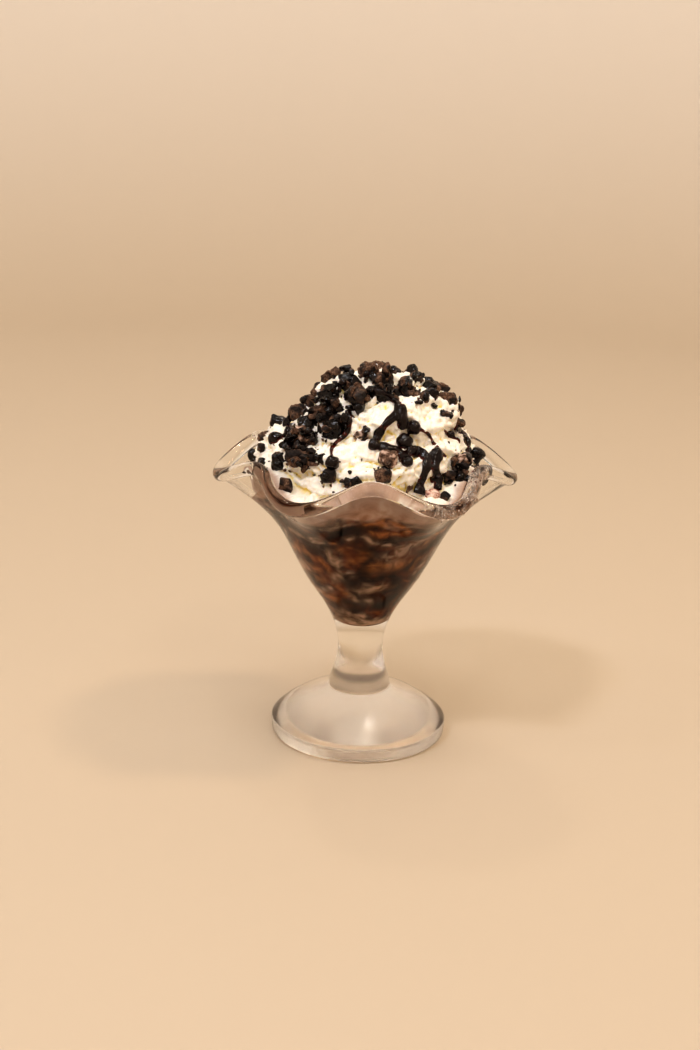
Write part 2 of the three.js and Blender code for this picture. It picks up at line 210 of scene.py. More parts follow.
# The camera stands where the photograph was taken from
view = {
    "aim": (-5.801, 0.0, 91.595),
    "distance": 711.727,
    "pitch": math.radians(17.236),
    "roll": math.radians(1.642),
    "lens": 58.53,
}


def makeCamera():
    camera = bpy.data.objects.new("photoCamera", bpy.data.cameras.new("photoCamera"))
    camera.data.lens = view["lens"]
    camera.data.sensor_width = 36
    camera.data.clip_start = 0.01
    forward = Vector((0, math.cos(view["pitch"]), -math.sin(view["pitch"])))
    level = Vector((1, 0, 0))
    upright = level.cross(forward)
    cosine, sine = math.cos(view["roll"]), math.sin(view["roll"])
    right = cosine * level + sine * upright
    up = cosine * upright - sine * level
    place = (Vector(view["aim"]) - view["distance"] * forward) * mm
    turn = Matrix((right, up, -forward)).transposed().to_4x4()
    camera.matrix_world = Matrix.Translation(place) @ turn
    bpy.context.scene.collection.objects.link(camera)
    bpy.context.scene.camera = camera
    return Vector(np.array(place) / mm)


eye = makeCamera()


def sightLine(across, up):  # from the camera through (across, 0, up)
    return (Vector((across, 0, up)) - eye).normalized()


def outwardAt(angle):  # level, in degrees round the middle
    return Vector((math.cos(math.radians(angle)), math.sin(math.radians(angle)), 0))


# The pressed glass: foot, stem, bowl and wavy rolled lip
glass = {
    "foot": [  # radius, height, fillet
        (0, 2.4, 0), (27.5, 2.4, 0.4), (30.4, 0, 0.5), (36.9, 0, 2.4), (37.2, 6.6, 1.6), (33.4, 10.0, 0),
    ],
    "dome": [(33.4, 10.0), (24.9, 15.6), (13.6, 20.3)],
    "stem": [(13, 20.6), (12.5, 24), (10.6, 30.5), (9.5, 38.5), (11.2, 48.7), (15.9, 58.5), (24.2, 71)],
    "floor": [(0, 50.5), (5, 51.2), (9.5, 54.2), (13, 59.2), (21.6, 72.5)],
    "lobeCurve": [(32.4, 90), (37.2, 98.8), (49.5, 107.6), (60.05, 113.6)],
    "crestCurve": [(32.4, 90), (38.1, 100.6), (44.6, 113.3), (51.3, 122.1)],
    "lobes": 6,
    "lobeTurn": math.radians(2.9),
    "wall": 3.2,
    "lipRadius": 2.95,
    "lipTop": (125, 116.5),  # on a crest and on a lobe
    "around": 252,
    "film": {"middle": math.radians(-44), "reach": math.radians(26), "depth": 10},  # cream dried on the lip
    "lipShare": 0.9,  # from here on the wall thickens to the lip's bead
}


def lobeWeight(angle):
    return 0.5 + 0.5 * np.cos(glass["lobes"] * (angle - glass["lobeTurn"]))


def underLip(points):  # how far each point is below the top of the lip there
    return np.interp(lobeWeight(azimuth(points)), [0, 1], glass["lipTop"]) - points[:, 2]


# One side of the wall, 1 inside and -1 outside, as [radius, height] at shares of its flare
def wallSide(weight, side, extra=0.0, shares=np.linspace(0, 1, 61)):
    t = np.asarray(shares)[:, None]
    a, b, c, d = np.array(glass["crestCurve"]) * (1 - weight) + np.array(glass["lobeCurve"]) * weight
    centre = a * (1 - t) ** 3 + 3 * b * t * (1 - t) ** 2 + 3 * c * t ** 2 * (1 - t) + d * t ** 3
    tangent = unit((b - a) * (1 - t) ** 2 + 2 * (c - b) * t * (1 - t) + (d - c) * t ** 2)
    inward = np.stack([-tangent[:, 1], tangent[:, 0]], axis=1)
    toEnd = np.linalg.norm(centre - d, axis=1)[:, None]
    bead = np.sqrt(np.maximum(glass["lipRadius"] ** 2 - toEnd ** 2, 0))
    half = ((glass["wall"] / 2) ** 6 + bead ** 6) ** (1 / 6)
    return centre + inward * side * (half + extra)


def lipRound(weight, steps=16):  # the half round that joins the wall's two sides
    outer = wallSide(weight, -1)[-1]
    inner = wallSide(weight, 1)[-1]
    centre = (outer + inner) / 2
    across = (inner - outer) / 2
    along = np.array((across[1], -across[0]))
    turn = np.linspace(0, math.pi, steps + 1)[1:-1, None]
    return centre - across * np.cos(turn) + along * np.sin(turn)


def bowlFloor(inset=0.0, steps=9):
    curve = splineThrough(glass["floor"] + [tuple(wallSide(0, 1)[0])], steps)[:-1]
    along = unit(np.gradient(curve, axis=0))
    moved = curve + inset * np.stack([-along[:, 1], along[:, 0]], axis=1)
    moved[0, 0] = 0
    return moved


def filleted(corners, steps=6):  # an outline of [radius, height, fillet] with its corners rounded
    corners = np.asarray(corners, float)
    outline = [corners[0, :2]]
    for before, corner, after in zip(corners, corners[1:], corners[2:]):
        here = corner[:2]
        back, on = unit(before[:2] - here), unit(after[:2] - here)
        reach = corner[2] / math.tan(math.acos(back @ on) / 2)
        for t in np.linspace(0, 1, steps):
            outline.append(here + back * reach * (1 - t) ** 2 + on * reach * t ** 2)
    return np.array(outline + [corners[-1, :2]])


# A body of rings round the middle. Its sections start and end on the axis
def turned(name, sectionAt, material, around):
    angles = ringAngles(around) + glass["lobeTurn"]
    sections = np.array([sectionAt(angle) for angle in angles])
    rings = sections.shape[1] - 2
    r, z = sections[:, 1:-1, 0], sections[:, 1:-1, 1]
    grid = np.stack([r * np.cos(angles)[:, None], r * np.sin(angles)[:, None], z], axis=2)
    poles = [(0, 0, sections[0, 0, 1]), (0, 0, sections[0, -1, 1])]
    bottom, top = around * rings, around * rings + 1
    faces = []
    for i in range(around):
        here, there = i * rings, (i + 1) % around * rings
        faces.append((bottom, there, here))
        faces.append((here + rings - 1, there + rings - 1, top))
        faces += [(here + k, there + k, there + k + 1, here + k + 1) for k in range(rings - 1)]
    return meshObject(name, np.concatenate([grid.reshape(-1, 3), poles]), faces, material)


# Clear soda-lime glass pressed in a mould: bright edges, faint waves, a hazy scuffed foot
def pressedGlass(tree, place):
    height = addNode(tree, "ShaderNodeSeparateXYZ", {}, {"Vector": place}).outputs["Z"]
    haze = addNode(tree, "ShaderNodeMapRange", {
        "From Min": 30 * mm, "From Max": 44 * mm, "To Min": 0.26, "To Max": 0.02,
    }, {"Value": height})
    waves = addNode(tree, "ShaderNodeTexNoise", {"Scale": 1 / (14 * mm), "Detail": 1.5}, {"Vector": place})
    wavy = addNode(tree, "ShaderNodeBump", {"Strength": 0.12, "Distance": 1.2 * mm}, {"Height": waves})
    body = addNode(tree, "ShaderNodeBsdfPrincipled", {
        "Base Color": "FBFAF7", "IOR": 1.5, "Transmission Weight": 1.0, "Specular Tint": "7A726D",
    }, {"Normal": wavy, "Roughness": haze})
    film = addNode(tree, "ShaderNodeAttribute", {"attribute_name": "film"}).outputs["Fac"]
    froth = addNode(tree, "ShaderNodeTexNoise", {"Scale": 1 / (2.2 * mm), "Detail": 3, "Roughness": 0.65}, {
        "Vector": place,
    })
    patches = addNode(tree, "ShaderNodeMapRange", {
        "From Min": 0.4, "From Max": 0.65, "To Min": 0.1, "To Max": 0.6,
    }, {"Value": froth})
    scuffs = addNode(tree, "ShaderNodeMapRange", {
        "From Min": 12 * mm, "From Max": 44 * mm, "To Min": 0.13, "To Max": 0.0,
    }, {"Value": height})
    share = addNode(tree, "ShaderNodeMath", {"operation": "MULTIPLY_ADD"}, {0: film, 1: patches, 2: scuffs})
    foam = addNode(tree, "ShaderNodeBump", {"Strength": 0.35, "Distance": 0.4 * mm}, {"Height": froth})
    dried = addNode(tree, "ShaderNodeBsdfPrincipled", {
        "Base Color": "DDD0C4", "Roughness": 0.15, "Transmission Weight": 0.35, "IOR": 1.34,
    }, {"Normal": foam})
    filmed = addNode(tree, "ShaderNodeMixShader", {}, {0: share, 1: body, 2: dried})
    low = addNode(tree, "ShaderNodeMapRange", {"From Max": 16 * mm}, {"Value": height})
    held = addNode(tree, "ShaderNodeValToRGB", {"stops": [  # least light gets through where the foot stands
        (0.08, "5A4733"), (0.22, "B8A38C"), (0.55, "CDBBA5"), (1.0, "F4F1EC"),
    ]}, {"Fac": low})
    clear = addNode(tree, "ShaderNodeBsdfTransparent", {}, {"Color": held})
    ray = addNode(tree, "ShaderNodeLightPath")
    return addNode(tree, "ShaderNodeMixShader", {}, {0: ray.outputs["Is Shadow Ray"], 1: filmed, 2: clear})


def filmWeight(points):  # 1 where cream has dried on the lip, at the front right
    film = glass["film"]
    edge, full = math.cos(film["reach"]), math.cos(film["reach"] / 2)
    within = smoothStep(np.cos(azimuth(points) - film["middle"]), edge, full)
    high = 1 - smoothStep(underLip(points), film["depth"] * 0.6, film["depth"])
    return within * high * smoothStep(noiseAt(points, 5, 77, 2), -0.4, 0.2)


def makeGlass():
    dome = splineThrough(glass["dome"], 8)[1:]
    stem = splineThrough(glass["stem"] + [tuple(wallSide(0, -1)[0])], 9)[:-1]
    body = np.concatenate([filleted(glass["foot"]), dome, stem])
    bend = glass["lipShare"]
    shares = np.concatenate([np.linspace(0, bend - 0.01, 28), np.linspace(bend, 1, 15)])  # closer at the lip

    def section(angle):
        weight = lobeWeight(angle)
        inside = np.concatenate([bowlFloor(), wallSide(weight, 1, shares=shares)])[::-1]
        return np.concatenate([body, wallSide(weight, -1, shares=shares), lipRound(weight), inside])

    material = newMaterial("pressedSodaLimeGlass", pressedGlass)
    piece = turned("pressedGlass", section, material, glass["around"])
    skin = meshArrays(piece.data)
    film = filmWeight(skin[0])
    setAttributes(piece, {"film": film})
    finishPiece(piece, "clear_glass", "sundae_glass")
    return skin, film


glassSkin, glassFilm = makeGlass()
report("glass")


# The ice cream that fills the bowl. It reaches a little into the wall, so that no air shows between them
filling = {
    "height": 103.5,
    "intoWall": 0.15,
    "around": 320,
    "strokes": [  # the veils behind the front of the glass: kind, width, path of [across, up] as it is seen
        ("dark", 5, [(-21.1, 91.9), (-13.1, 90.5), (-5.1, 91.6), (-1.4, 91.2)]),
        ("dark", 3, [(0.8, 89.6), (5.1, 86.5), (11.5, 86.1), (17.9, 88.3), (23.7, 89.4)]),
        ("dark", 5, [(2, 82.2), (3.1, 76.9), (2.7, 71.6)]),
        ("dark", 3.5, [(-22, 84), (-17.2, 81.9), (-14, 82)]),
        ("dark", 4, [(-16.4, 63.9), (-11.5, 60.8), (-5.1, 59.3)]),
        ("dark", 5, [(8.6, 70.6), (11.8, 69.6), (12.9, 63.3), (7.7, 58.4)]),
        ("dark", 3.5, [(-32.8, 90.7), (-28.9, 81.8), (-23.4, 72.3)]),
        ("toffee", 1.8, [(-13.5, 85.2), (-11.9, 84.9)]),
        ("toffee", 2.6, [(-9.7, 82), (-6.5, 82.6), (-2.3, 82.1), (-0.4, 80), (-2.2, 76.8), (-5.4, 76.3)]),
        ("toffee", 3, [(-18.2, 77.1), (-16, 75.6), (-13.8, 73)]),
        ("toffee", 2, [(-18, 68.7), (-14.3, 68.2), (-10.6, 66.7), (-7.8, 64), (-5.7, 62.7)]),
        ("toffee", 3.4, [(4.8, 74.6), (8.5, 75.4), (12.7, 76), (17.5, 76.9)]),
        ("toffee", 3, [(0.7, 93.3), (5.5, 95), (11.4, 94), (16.7, 93)]),
        ("toffee", 2.4, [(2.9, 90.4), (7.2, 88.9), (12.5, 89.5), (17.8, 91.4)]),
        ("toffee", 1.5, [(6.5, 65.6), (10.2, 66.4), (13.4, 67.5)]),
        ("toffee", 2.4, [(21.7, 78.2), (19.1, 74)]),
        ("toffee", 2, [(31.6, 92.7), (27.4, 90), (24.3, 86.2)]),
        ("toffee", 2, [(-5.7, 96.4), (-2.5, 97.2), (0.7, 96.5)]),
        ("milk", 1.6, [
            (-6.6, 86.6), (-4.6, 87.6), (-1.6, 88), (1.5, 87), (4.5, 85.2), (7.5, 84.3), (10.5, 84.4),
        ]),
        ("milk", 5, [(23.2, 87.8), (19, 85.1), (15.8, 81.9), (11.6, 78.6)]),
        ("milk", 2, [(31.2, 86.9), (26, 81.5), (23.4, 77.2), (20.8, 73.5)]),
        ("milk", 3.2, [(-14, 79.9), (-10.7, 75.7), (-8.5, 72), (-10.6, 68.2)]),
        ("milk", 1.8, [(-6.4, 72), (-4.2, 70.5)]),
        ("milk", 2.6, [(-4.6, 63), (1.2, 64.2), (6.5, 66.4)]),
        ("milk", 2, [(1.2, 66.8), (5.4, 65.8), (8.6, 65.6)]),
        ("milk", 2.4, [(-29, 90.8), (-24.7, 87.7), (-21, 85.8), (-17.3, 86.4)]),
        ("milk", 2.4, [(-26.2, 80.2), (-22.9, 75.5), (-20.8, 73.4)]),
        ("milk", 1.1, [(-14.7, 91.8), (-9.9, 92.4), (-5.6, 93.5)]),
        ("milk", 2.8, [(-12, 56), (-6, 53.8), (0, 52.8)]),
        ("milk", 3, [(34.8, 93.3), (31.2, 86.9), (27, 79.9), (23.4, 74), (19.2, 67.6)]),
        ("milk", 2, [(-30.1, 89.2), (-27.3, 81.8), (-24, 75.5), (-20.2, 69.2), (-16.4, 63.9)]),
        ("milk", 1.7, [(-3.5, 61.2), (-0.9, 59.6), (3.4, 59.7)]),
        ("dark", 2.6, [(-6.3, 67.8), (-4.2, 66.7)]),
    ],
    "strokesBehind": 46,
    "behindHeights": (56, 101),
    "veilHeights": (104.5, 110),  # from no film of melt on the glass to full
    "residueHeights": (52, 57),  # the milky rest at the bottom
    "paleDepths": (5, 17),  # under the lip, where the film is thin
}


def fillingTop(x, y):
    ripple = 1.1 * np.sin(x * 0.13 + 0.6) * np.cos(y * 0.15 - 0.4)
    return filling["height"] + 0.035 * x - 0.03 * y + ripple


def marbling(tree, place):  # dark chocolate half stirred into vanilla, in swirls about a centimetre wide
    stir = addNode(tree, "ShaderNodeTexNoise", {"Scale": 1 / (24 * mm), "Detail": 2}, {"Vector": place})
    bent = addNode(tree, "ShaderNodeVectorMath", {"operation": "MULTIPLY_ADD", 1: [22 * mm] * 3}, {
        0: stir.outputs["Color"], 2: place,
    })
    brown = addNode(tree, "ShaderNodeTexNoise", {"Scale": 1 / (13 * mm), "Detail": 3, "Distortion": 0.9}, {
        "Vector": bent,
    })
    return addNode(tree, "ShaderNodeValToRGB", {"stops": [
        (0.36, "180503"), (0.5, "361207"), (0.6, "602810"), (0.72, "96562D"),
    ]}, {"Fac": brown}).outputs["Color"]


def meltColour(tree, place):  # the pinkish-brown film of melted ice cream and cream against the glass
    mottle = addNode(tree, "ShaderNodeTexNoise", {"Scale": 1 / (8 * mm), "Detail": 3, "Distortion": 0.7}, {
        "Vector": place,
    })
    return addNode(tree, "ShaderNodeValToRGB", {"stops": [
        (0.3, "8C5B44"), (0.45, "BE9075"), (0.58, "D8B39A"), (0.7, "EBD3C0"),
    ]}, {"Fac": mottle}).outputs["Color"]


def veilWeight(points):  # 1 where the film hides the marbling, fading out below in streaks
    ragged = noiseAt(points * (0.7, 0.7, 1.6) + 2.2 * noiseAt(points, 7, 21)[:, None], 7, 22, 3)
    return smoothStep(points[:, 2] + 6 * ragged, *filling["veilHeights"])


def colourAtGlass(tree, place):  # the marbling with its veins, under the film
    colour = marbling(tree, place)
    torn = addNode(tree, "ShaderNodeTexNoise", {"Scale": 1 / (7 * mm), "Detail": 2, "Distortion": 1.2}, {
        "Vector": place,
    })
    gap = addNode(tree, "ShaderNodeMapRange", {
        "From Min": 0.36, "From Max": 0.6, "To Min": 0.2, "To Max": 1.0,
    }, {"Value": torn})
    for kind, shade in (("dark", "160503"), ("toffee", "C8824A"), ("milk", "E2C0A6")):
        weight = addNode(tree, "ShaderNodeAttribute", {"attribute_name": kind}).outputs["Fac"]
        if kind != "dark":
            weight = addNode(tree, "ShaderNodeMath", {"operation": "MULTIPLY"}, {0: weight, 1: gap})
        colour = addNode(tree, "ShaderNodeMix", {"data_type": "RGBA", 7: shade}, {0: weight, 6: colour})
    veil, pale = [addNode(tree, "ShaderNodeAttribute", {"attribute_name": name}).outputs["Fac"]
                  for name in ("veil", "pale")]
    veiled = addNode(tree, "ShaderNodeMix", {"data_type": "RGBA"}, {
        0: veil, 6: colour, 7: meltColour(tree, place),
    })
    # thinner and greyer at the lip
    return addNode(tree, "ShaderNodeMix", {"data_type": "RGBA", 7: "AA9283"}, {0: pale, 6: veiled})


# Chocolate and vanilla half stirred: near-black swirls with toffee-brown and milky veils
def marbledIceCream(tree, place):
    return addNode(tree, "ShaderNodeBsdfPrincipled", {
        "Roughness": 0.45, "IOR": 1.36, "Specular IOR Level": 0.0, "Subsurface Weight": 0.12,
        "Subsurface Radius": (0.8, 0.4, 0.25), "Subsurface Scale": 1.0 * mm,
    }, {"Base Color": colourAtGlass(tree, place)})


def onInnerWall(start, towards):  # where a line enters the bowl through its wall
    outer = glassTree.ray_cast(start, towards)[0]
    inner = glassTree.ray_cast(outer + towards * 0.05, towards)[0] if outer else None
    return tuple(inner) if inner else None


def veinPaths():
    veins = []
    for kind, width, path in filling["strokes"]:
        veins.append((kind, width, [onInnerWall(eye, sightLine(*point)) for point in path]))
    choice = random.Random(11)
    low, high = filling["behindHeights"]
    for _ in range(filling["strokesBehind"]):
        angle, height = choice.uniform(-25, 205), choice.uniform(low, high)
        lean, step = choice.uniform(-0.5, 0.5), choice.uniform(4, 7)
        path = []
        for _ in range(3):
            outward = outwardAt(angle)
            path.append(onInnerWall(outward * 90 + Vector((0, 0, height)), -outward))
            angle += math.degrees(step / Vector(path[-1]).xy.length)
            height = min(max(height + lean * step, low - 2), high)
        kind, width = choice.choice(("milk", "toffee", "toffee", "dark", "milk")), choice.uniform(1.2, 4.5)
        veins.append((kind, width, path))
    return [(kind, width, splineThrough([place for place in path if place], 6))
            for kind, width, path in veins]


def veinWeights(points):  # for each kind of vein 1 on its lines, fading to 0 at their ragged edges
    wander = points + np.stack([noiseAt(points, 8, seed, 2) for seed in (61, 62, 63)], axis=1)
    weights = {kind: np.zeros(len(points)) for kind in ("milk", "toffee", "dark")}
    for seed, (kind, width, path) in enumerate(veins):
        distance = np.full(len(points), 1e3)
        for a, b in zip(path, path[1:]):
            share = np.clip((wander - a) @ (b - a) / max((b - a) @ (b - a), 1e-9), 0, 1)
            distance = np.minimum(distance, np.linalg.norm(wander - a - share[:, None] * (b - a), axis=1))
        near = distance < width * 3
        ragged = distance[near] + 0.6 * noiseAt(points[near] * (1, 1, 1.5), 6, seed, 2) * width
        seen = 0.75 * (1 - smoothStep(ragged, 0, width)) + 0.25 * (1 - smoothStep(ragged, 0, 2.4 * width))
        weights[kind][near] = np.maximum(weights[kind][near], seen)
    residue = 1 - smoothStep(points[:, 2] + 2 * noiseAt(points, 3, 23, 2), *filling["residueHeights"])
    weights["milk"] = np.maximum(weights["milk"], 0.9 * residue)
    pale = 0.8 * (1 - smoothStep(underLip(points), *filling["paleDepths"]))
    return weights | {"veil": veilWeight(points), "pale": pale}


def makeFilling():
    def section(angle):
        weight = lobeWeight(angle)
        fine = np.linspace(0, 1, 241)
        side = wallSide(weight, 1, -filling["intoWall"], fine)
        level = fillingTop(side[:, 0] * math.cos(angle), side[:, 0] * math.sin(angle))
        reached = fine[np.argmax(side[:, 1] > level)]
        side = wallSide(weight, 1, -filling["intoWall"], np.linspace(0, reached, 77))
        r = side[-1, 0] * np.linspace(0.97, 0, 14)
        top = np.stack([r, fillingTop(r * math.cos(angle), r * math.sin(angle))], axis=1)
        return np.concatenate([bowlFloor(-filling["intoWall"]), side, top])

    material = newMaterial("marbledChocolateIceCream", marbledIceCream)
    piece = turned("marbledFilling", section, material, filling["around"])
    setAttributes(piece, veinWeights(meshArrays(piece.data)[0]))
    finishPiece(piece, "ice_cream", "marbled_ice_cream")


glassTree = skinTree([glassSkin])
veins = veinPaths()
makeFilling()
report("ice cream in the bowl")


# The whipped cream: a fluted rope of one wide turn and a narrower one, with dollops at the summit
cream = {
    "swirlStart": math.radians(100),
    "swirlTurns": 1.8,
    "stepUp": (0.82, 1.2),
    "lowerTurn": {"radius": 30, "height": 121, "rope": 15, "centre": 0},
    "upperTurn": {"radius": 17, "height": 136, "rope": 14.5, "centre": 7},
    "flutes": 6,
    "fluteDepth": 2.2,
    "fluteTwist": 0.75,
    "unevenness": 1.8,
    "dollopSwell": 0.16,  # share of the radius
    "dollops": [  # the last two fill the lobes at the front
        (2, -3, 146, 12.5), (14, 1, 144.5, 12), (-10, 0, 141.5, 13), (5, 8, 144, 12),
        (-20.5, -39, 107, 9.5), (24, -36.5, 106, 9.5),
    ],
    "core": [
        (0, 98), (46, 98), (45.5, 108), (43.5, 114), (39, 122), (33, 132), (26, 141), (15, 149), (0, 152),
    ],
    "voxel": 0.58,
    "ledge": 8.5,  # height of a layer of folds
    "ledgeStarts": 2,
    "ledgeDepth": 2.9,
    "foldDepth": 2.2,
    "warp": (11, 3.5),  # size and depth, here and below
    "curls": (3.6, 1.2),
    "froth": (1.9, 0.75),
    "peaks": (1.9, 2.2),
    "calm": 0.85,  # share of the relief that is lost against the glass
    "pressedBelow": (0.8, 4.4),  # under the lip, from no touch to full
    "pressedWithin": (14, 8),  # of the wall, the same
    "sunk": 1.5,  # below the filling's top
    "hollowRounds": 22,  # of spreading, to find the hollows
    # painted shade in the folds, from none to full
    "foldShadeRange": (0.3, 0.85),
    "emptyLobes": (0.7, 0.9),  # of the cosine round the middle
}


def unevenAt(points):  # slow unevenness of a soft surface
    x, y, z = points[..., 0], points[..., 1], points[..., 2]
    broad = np.sin(x * 0.21 + 1.3) * np.sin(y * 0.19 + 0.4) * np.sin(z * 0.23 + 2.1)
    fine = np.sin(x * 0.47 + y * 0.31) * np.cos(y * 0.43 - z * 0.37 + 0.8)
    return 0.6 * broad + 0.4 * fine


def swirlAt(turn):
    rise = float(smoothStep(turn, *cream["stepUp"]))
    low, high = cream["lowerTurn"], cream["upperTurn"]
    value = {key: low[key] + (high[key] - low[key]) * rise for key in low}
    angle = cream["swirlStart"] + turn * 2 * math.pi
    height = value["height"] - 1 + 2 * turn / cream["swirlTurns"]
    centre = (value["centre"] + value["radius"] * math.cos(angle), value["radius"] * math.sin(angle), height)
    return np.array(centre), value["rope"]


def gridFaces(rings, around):  # the faces of a closed tube of rings with a point at each end
    first, last, end = rings * around, rings * around + 1, (rings - 1) * around
    sides = [(k, (k + 1) % around) for k in range(around)]
    faces = [(i + k, i + j, i + around + j, i + around + k)
             for i in range(0, end, around) for k, j in sides]
    faces += [(first, j, k) for k, j in sides]
    return faces + [(last, end + k, end + j) for k, j in sides]


def fluteProfile(angle):  # rounded ridges with sharp valleys between them
    return -cream["fluteDepth"] * (1 - np.abs(np.cos(angle * cream["flutes"] / 2)))


def creamRope(around=72, stations=190):
    rings = []
    turns = np.linspace(0, cream["swirlTurns"], stations)
    rounded = np.sin(np.linspace(0.08, 1, 8) * math.pi / 2)
    for i, turn in enumerate(turns):
        centre, rope = swirlAt(turn)
        tangent = unit(swirlAt(turn + 0.01)[0] - swirlAt(turn - 0.01)[0])
        up = unit(np.array((0, 0, 1)) - tangent * tangent[2])
        outward = np.cross(tangent, up)
        share = rounded[min(i, stations - 1 - i, len(rounded) - 1)]
        angle = (np.arange(around) / around + turn * cream["fluteTwist"]) * 2 * math.pi
        direction = np.cos(angle)[:, None] * outward + np.sin(angle)[:, None] * up
        bare = centre + direction * rope * share
        profile = fluteProfile(ringAngles(around))
        reach = profile + cream["unevenness"] * unevenAt(bare)
        rings.append(bare + direction * (reach * share)[:, None])
    return np.concatenate(rings + [[rings[0].mean(0)], [rings[-1].mean(0)]]), gridFaces(len(rings), around)


def ballMesh(subdivisions):  # a ball of radius 1
    shape = bmesh.new()
    bmesh.ops.create_icosphere(shape, subdivisions=subdivisions, radius=1)
    points = np.array([tuple(vertex.co) for vertex in shape.verts])
    faces = [tuple(vertex.index for vertex in face.verts) for face in shape.faces]
    shape.free()
    return points, faces


def dollop(x, y, z, radius):
    ball, faces = ballMesh(5)
    place = np.array((x, y, z))
    swell = 1 + cream["dollopSwell"] * unevenAt(ball * radius * 1.3 + place)
    return ball * radius * swell[:, None] + place, faces


def coreBody(around=96):
    profile = splineThrough(cream["core"][1:-1], 5)
    angle = ringAngles(around)
    rings = [np.stack([r * np.cos(angle), r * np.sin(angle), np.full(around, z)], axis=1) for r, z in profile]
    ends = [[(0, 0, cream["core"][k][1])] for k in (0, -1)]
    return np.concatenate(rings + ends), gridFaces(len(rings), around)


wallSteps = 24
innerWall = [wallSide(step / wallSteps, 1) for step in range(wallSteps + 1)]  # from a crest to a lobe


def wallRadius(points):  # the inner radius of the glass at each point, and whether the point is above its lip
    weight = lobeWeight(azimuth(points)) * wallSteps
    radii = np.array([np.interp(points[:, 2], side[:, 1], side[:, 0]) for side in innerWall])
    tops = np.array([side[-1, 1] for side in innerWall])
    low = np.clip(weight.astype(int), 0, wallSteps - 1)
    share = weight - low
    columns = np.arange(len(points))
    a, b = radii[low, columns], radii[low + 1, columns]
    return a + (b - a) * share, points[:, 2] > np.minimum(tops[low], tops[low + 1])


def whippedCream(tree, place):  # aerated dairy cream: bright, matte and soft, with lemon-yellow shade painted where it folds in
    crevice, stain = [addNode(tree, "ShaderNodeAttribute", {"attribute_name": name}).outputs["Fac"]
                      for name in ("crevice", "stain")]
    # painted shade: the cream turns lemon yellow in the hollows of its folds
    foldShaded = addNode(tree, "ShaderNodeMix", {"data_type": "RGBA", 6: "F8F1E5", 7: "F2D768"}, {0: crevice})
    stained = addNode(tree, "ShaderNodeMix", {"data_type": "RGBA"}, {
        0: stain, 6: foldShaded, 7: colourAtGlass(tree, place),
    })
    foam = addNode(tree, "ShaderNodeTexNoise", {"Scale": 1 / (0.7 * mm), "Detail": 3}, {"Vector": place})
    bump = addNode(tree, "ShaderNodeBump", {"Strength": 0.3, "Distance": 0.25 * mm}, {"Height": foam})
    return addNode(tree, "ShaderNodeBsdfPrincipled", {
        "Roughness": 0.5, "IOR": 1.36, "Subsurface Weight": 0.3, "Subsurface Radius": (1.0, 0.8, 0.5),
        "Subsurface Scale": 0.8 * mm,
    }, {"Base Color": stained, "Normal": bump})


def ledges(layer):  # rises sharply, then falls away slowly, once for every whole number
    share = layer - np.floor(layer)
    return smoothStep(share, 0, 0.2) * (1 - share) ** 0.8


def creamRelief(points):  # overlapping soft folds with torn edges, as of cream pressed out in layers
    warp, curls, froth, peaks = [cream[name] for name in ("warp", "curls", "froth", "peaks")]
    bent = points + warp[1] * np.stack([noiseAt(points, warp[0], seed) for seed in (1, 2, 3)], axis=1)
    angle = np.arctan2(bent[:, 1], bent[:, 0] - 3)
    strength = np.clip(0.55 + 0.9 * noiseAt(points, 16, 12), 0.15, 1.2)
    spiral = bent[:, 2] / cream["ledge"] + cream["ledgeStarts"] * angle / (2 * math.pi)
    relief = cream["ledgeDepth"] * strength * (ledges(spiral) - 0.45)
    across = noiseAt(bent, 13, 4) * 3.2
    relief += cream["foldDepth"] * (1.2 - strength) * (ledges(across) - 0.45)
    relief += curls[1] * (np.abs(noiseAt(bent, curls[0], 9)) ** 0.7 - 0.35)
    relief += froth[1] * noiseAt(points, froth[0], 6, 3)
    return relief + peaks[1] * np.clip(noiseAt(points, peaks[0], 7) - 0.36, 0, 1)


def besideGlass(points):  # 1 where cream lies against the bowl, with the glass's reach there
    limit, clear = wallRadius(points)
    limit = limit + filling["intoWall"]
    radius = np.hypot(points[:, 0], points[:, 1])
    far, near = cream["pressedWithin"]
    below = smoothStep(underLip(points), *cream["pressedBelow"])
    return below * smoothStep(radius, limit - far, limit - near), limit, clear


def makeCream():
    parts = [coreBody(), creamRope()] + [dollop(*blob) for blob in cream["dollops"]]
    points, faces = remeshed(parts, cream["voxel"])
    relief = creamRelief(points) * (1 - cream["calm"] * besideGlass(points)[0])
    points = points + pointNormals(points, faces) * relief[:, None]
    radius = np.hypot(points[:, 0], points[:, 1])
    below = underLip(points)
    beside, limit, clear = besideGlass(points)
    angle = azimuth(points)
    # the lobes at the two sides hold none
    empty = lobeWeight(angle) * smoothStep(np.abs(np.cos(angle)), *cream["emptyLobes"])
    pressed = beside * (1 - empty)
    held = np.where(clear, radius, np.minimum(radius + (limit - radius) * pressed, limit))
    points[:, :2] *= (held / np.maximum(radius, 1e-6))[:, None]
    points[:, 2] = np.maximum(points[:, 2], fillingTop(points[:, 0], points[:, 1]) - cream["sunk"])
    piece = meshObject("pipedCream", points, faces, newMaterial("whippedDairyCream", whippedCream))
    sunken = neighbourMean(points, faces, cream["hollowRounds"]) - points
    hollow = (sunken * pointNormals(points, faces)).sum(axis=1)
    # painted shade in the folds: how deep each point lies in a hollow, broken up by noise
    crevice = smoothStep(hollow + 0.25 * noiseAt(points, 8, 14), *cream["foldShadeRange"])
    crevice *= 1 - smoothStep(below, 0, 3)
    stain = smoothStep(beside + 0.2 * noiseAt(points, 7, 8), 0.4, 0.8)
    setAttributes(piece, {"crevice": crevice, "stain": stain})
    stained = np.flatnonzero(stain > 0)
    for kind, weight in veinWeights(points[stained]).items():
        full = np.zeros(len(points))
        full[stained] = weight
        setAttributes(piece, {kind: full})
    finishPiece(piece, "cream", "whipped_cream")
    return points, faces


creamSkin = makeCream()
report("whipped cream")


